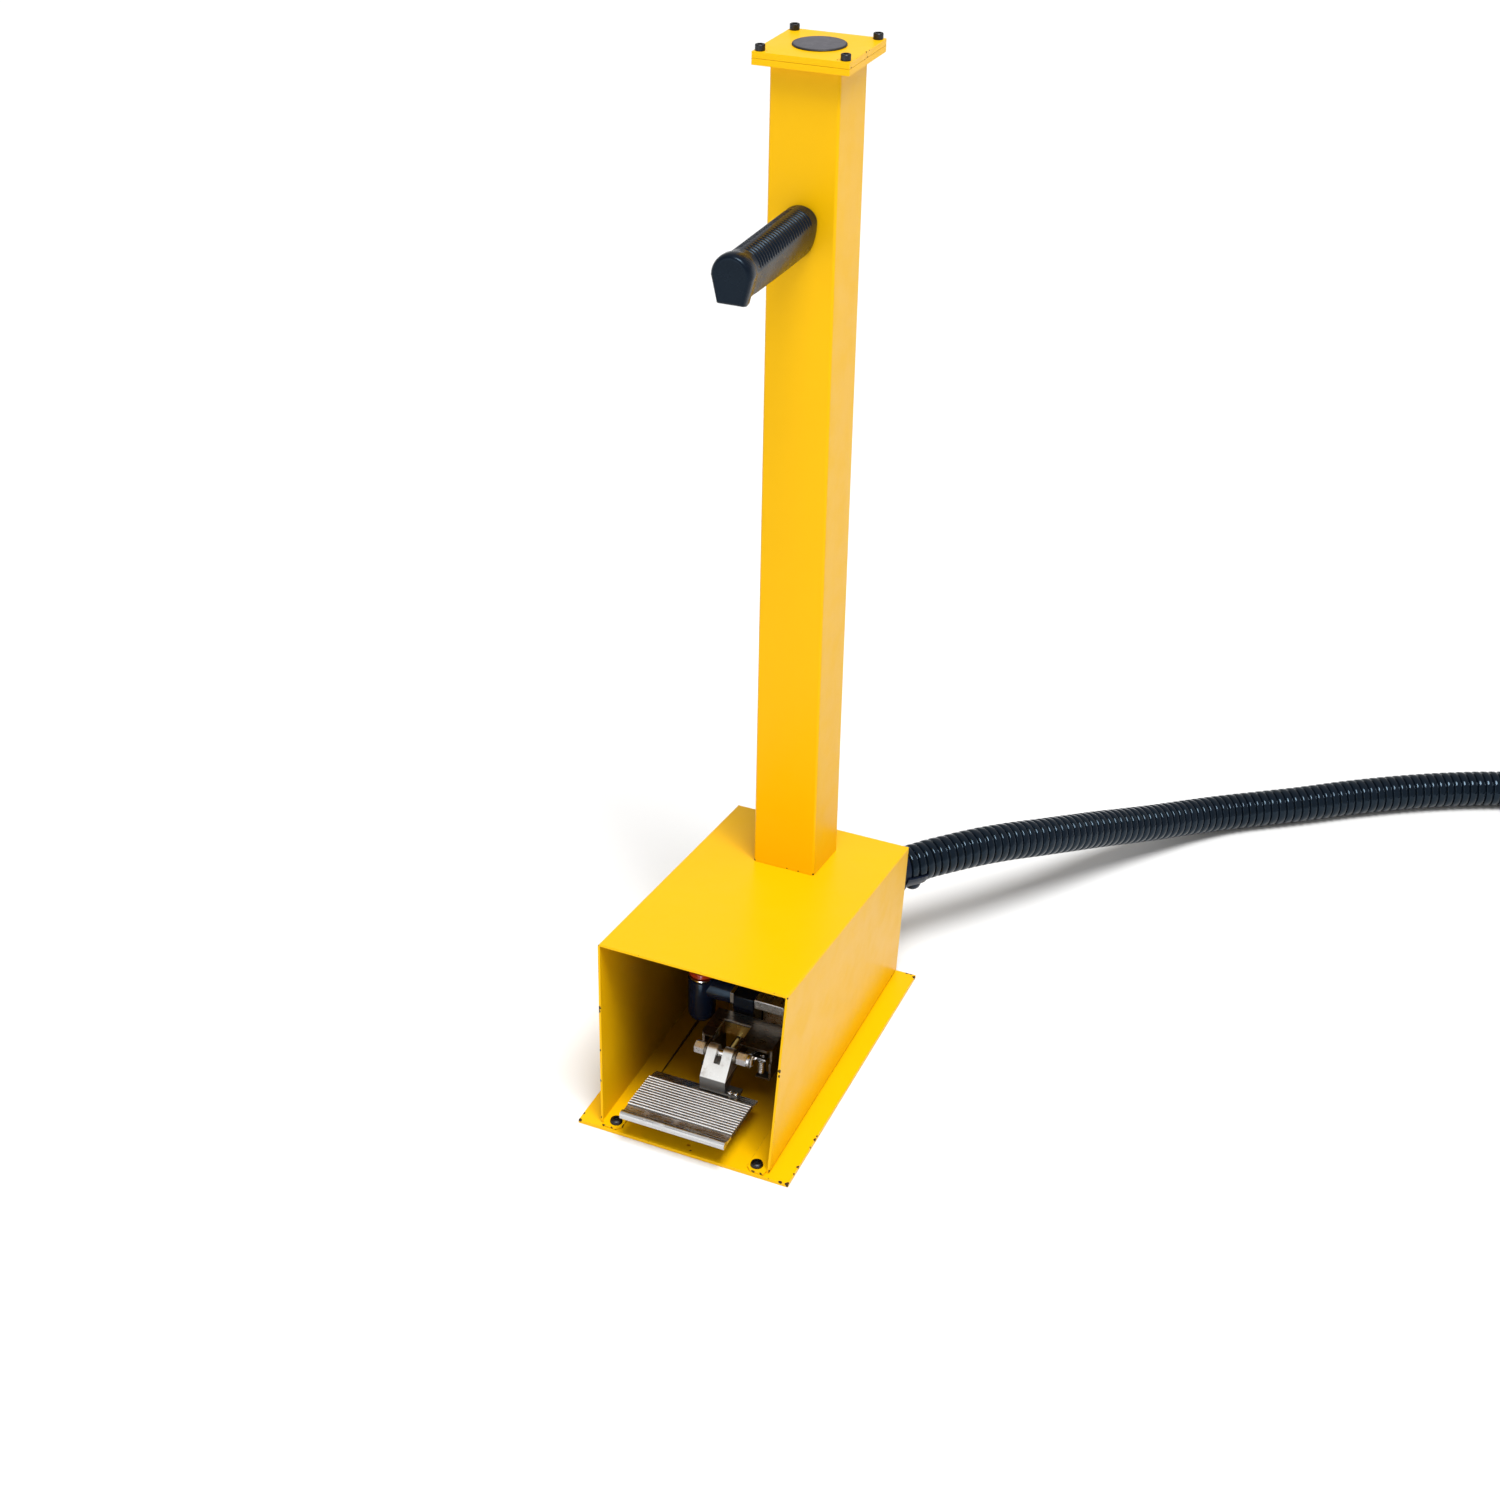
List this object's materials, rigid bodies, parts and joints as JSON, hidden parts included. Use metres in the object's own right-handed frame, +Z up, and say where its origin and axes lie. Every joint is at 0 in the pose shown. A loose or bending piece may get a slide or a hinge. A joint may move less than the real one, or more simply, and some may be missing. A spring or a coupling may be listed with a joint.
{
  "type": "foot switch pedestal",
  "caption": "Floor pedestal with a hooded pneumatic foot pedal, a square column with a grip and a flanged top plate, and a corrugated conduit that leaves the back.",
  "frame": {"origin": "on the underside of the base plate, in the middle of its width and of the depth from the pedal's nose to the base plate's rear edge", "axes": "+X to the operator's right, +Y away from the operator towards the back, +Z up along the column"},
  "size_m": [1.1508, 1.1513, 1.1296],
  "materials": {
    "yellow_paint": "glossy safety-yellow powder coat on steel sheet, chipped to dark metal on a few edges",
    "black_oxide": "black oxide on hardened steel screws",
    "bracket_steel": "bent steel, polished, dark from what it reflects",
    "bright_steel": "bright zinc-plated or cast steel",
    "aluminium": "extruded or machined aluminium, bare",
    "grey_plug": "satin dark grey plastic",
    "red_plastic": "glossy red-orange plastic",
    "bronze": "sintered bronze, granular",
    "grip_plastic": "moulded blue-black plastic with fine cross ribs",
    "conduit_plastic": "glossy blue-black corrugated plastic",
    "black_plastic": "glossy blue-black moulded plastic",
    "air_tube": "smooth black polyurethane tube"
  },
  "bodies": {
    "pedestal": {"base_plate": "yellow_paint", "bracket_screw_1": "bright_steel", "bracket_screw_2": "bright_steel", "bracket_screw_3": "bright_steel", "bracket_screw_4": "bright_steel", "column": "yellow_paint", "column_flange": "yellow_paint", "conduit_lock_nut": "conduit_plastic", "elbow_fitting": "black_plastic", "elbow_nipple": "bright_steel", "elbow_ring": "bright_steel", "exhaust_silencer": "bronze", "handle_core": "bright_steel", "handle_grip": "grip_plastic", "hole_plug": "grey_plug", "hood": "yellow_paint", "hood_bolt_1": "black_oxide", "hood_bolt_2": "black_oxide", "hood_bolt_3": "black_oxide", "hood_bolt_4": "black_oxide", "hose": "conduit_plastic", "hose_elbow": "conduit_plastic", "hose_end": "conduit_plastic", "outlet_tube": "air_tube", "rear_fitting": "black_plastic", "rear_panel": "yellow_paint", "return_spring": "bright_steel", "riser_screw_1": "bright_steel", "riser_screw_2": "bright_steel", "supply_tube": "air_tube", "top_plate": "yellow_paint", "top_screw_1": "black_oxide", "top_screw_2": "black_oxide", "top_screw_3": "black_oxide", "top_screw_4": "black_oxide", "valve_body": "aluminium", "valve_bracket": "bracket_steel", "valve_head": "black_plastic", "valve_riser": "bracket_steel", "valve_side_plate": "bright_steel"},
    "pedal": {"pedal_tread": "aluminium", "pedal_arm": "bright_steel", "tread_screw_1": "bright_steel", "tread_screw_2": "bright_steel", "pivot_pin": "bright_steel", "pivot_nut_left": "bright_steel", "pivot_nut_right": "bright_steel", "return_lever": "bright_steel", "lever_nut": "bright_steel"},
    "plunger": {"valve_plunger": "bright_steel"},
    "collar": {"release_collar": "red_plastic"}
  },
  "joints": [
    {"name": "pedal_hinge", "type": "hinge", "parent": "pedestal", "child": "pedal", "pos_m": [0, -0.099, 0.0695], "axis": [1, 0, 0], "range_deg": [0, 10], "stiffness_Nm_per_rad": 4, "springref_deg": -20.05, "deforming": ["return_spring"]},
    {"name": "plunger_slide", "type": "slide", "parent": "pedestal", "child": "plunger", "axis": [0, 1, 0], "range_m": [0, 0.0026]},
    {"name": "collar_slide", "type": "slide", "parent": "pedestal", "child": "collar", "axis": [0, 0, -1], "range_m": [0, 0.0015], "stiffness_N_per_m": 1500, "springref_m": -0.001}
  ],
  "couplings": [
    {"joint": "plunger_slide", "follows": "pedal_hinge", "m_per_rad": 0.0142}
  ]
}
